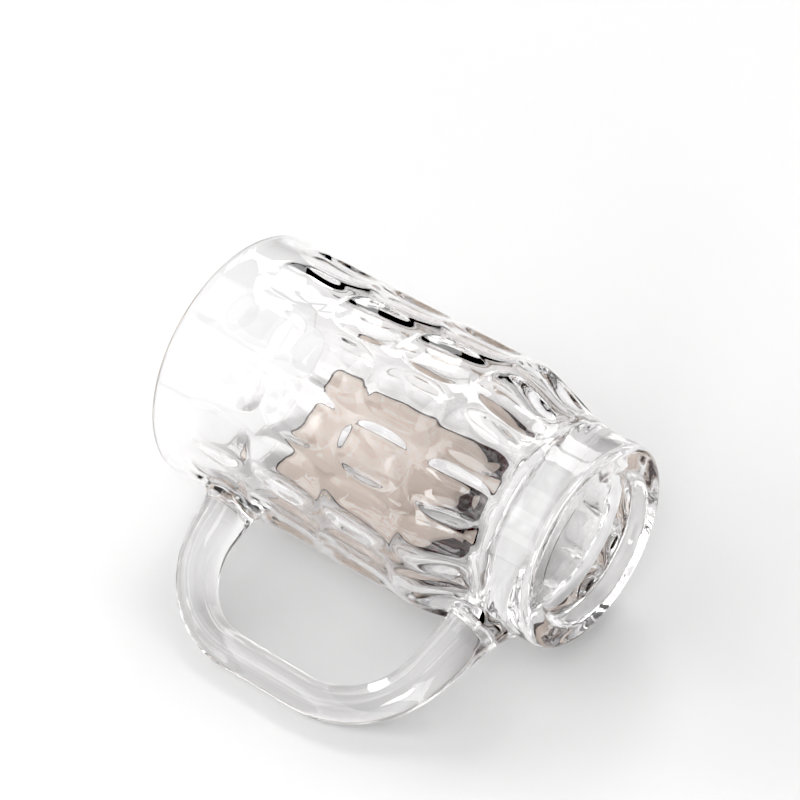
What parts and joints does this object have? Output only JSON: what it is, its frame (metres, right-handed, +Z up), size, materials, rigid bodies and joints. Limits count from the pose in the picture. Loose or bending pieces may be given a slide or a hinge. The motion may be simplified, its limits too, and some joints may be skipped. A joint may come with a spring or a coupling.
{
  "type": "dimpled beer mug",
  "caption": "Clear glass beer mug with a dimpled barrel, a narrower thick foot, a round looped handle laid on hot, and a plain printed label on a smooth panel.",
  "frame": {"origin": "centre of the foot, on the plane that the mug stands on", "axes": "+Z up along the mug's axis, +X towards the handle; the label panel faces -Y, turned a little towards the handle"},
  "size_m": [0.1393, 0.0904, 0.1524],
  "materials": {
    "clear_glass": "clear, polished by the fire",
    "cream_enamel": "opaque fired enamel, satin",
    "dark_enamel": "opaque fired enamel, glossy",
    "red_enamel": "opaque fired enamel, glossy"
  },
  "bodies": {
    "root": {"mug_body": "clear_glass", "handle": "clear_glass", "label_ground": "cream_enamel", "label_border": "dark_enamel", "label_band": "red_enamel", "label_emblem": "red_enamel"}
  },
  "joints": []
}
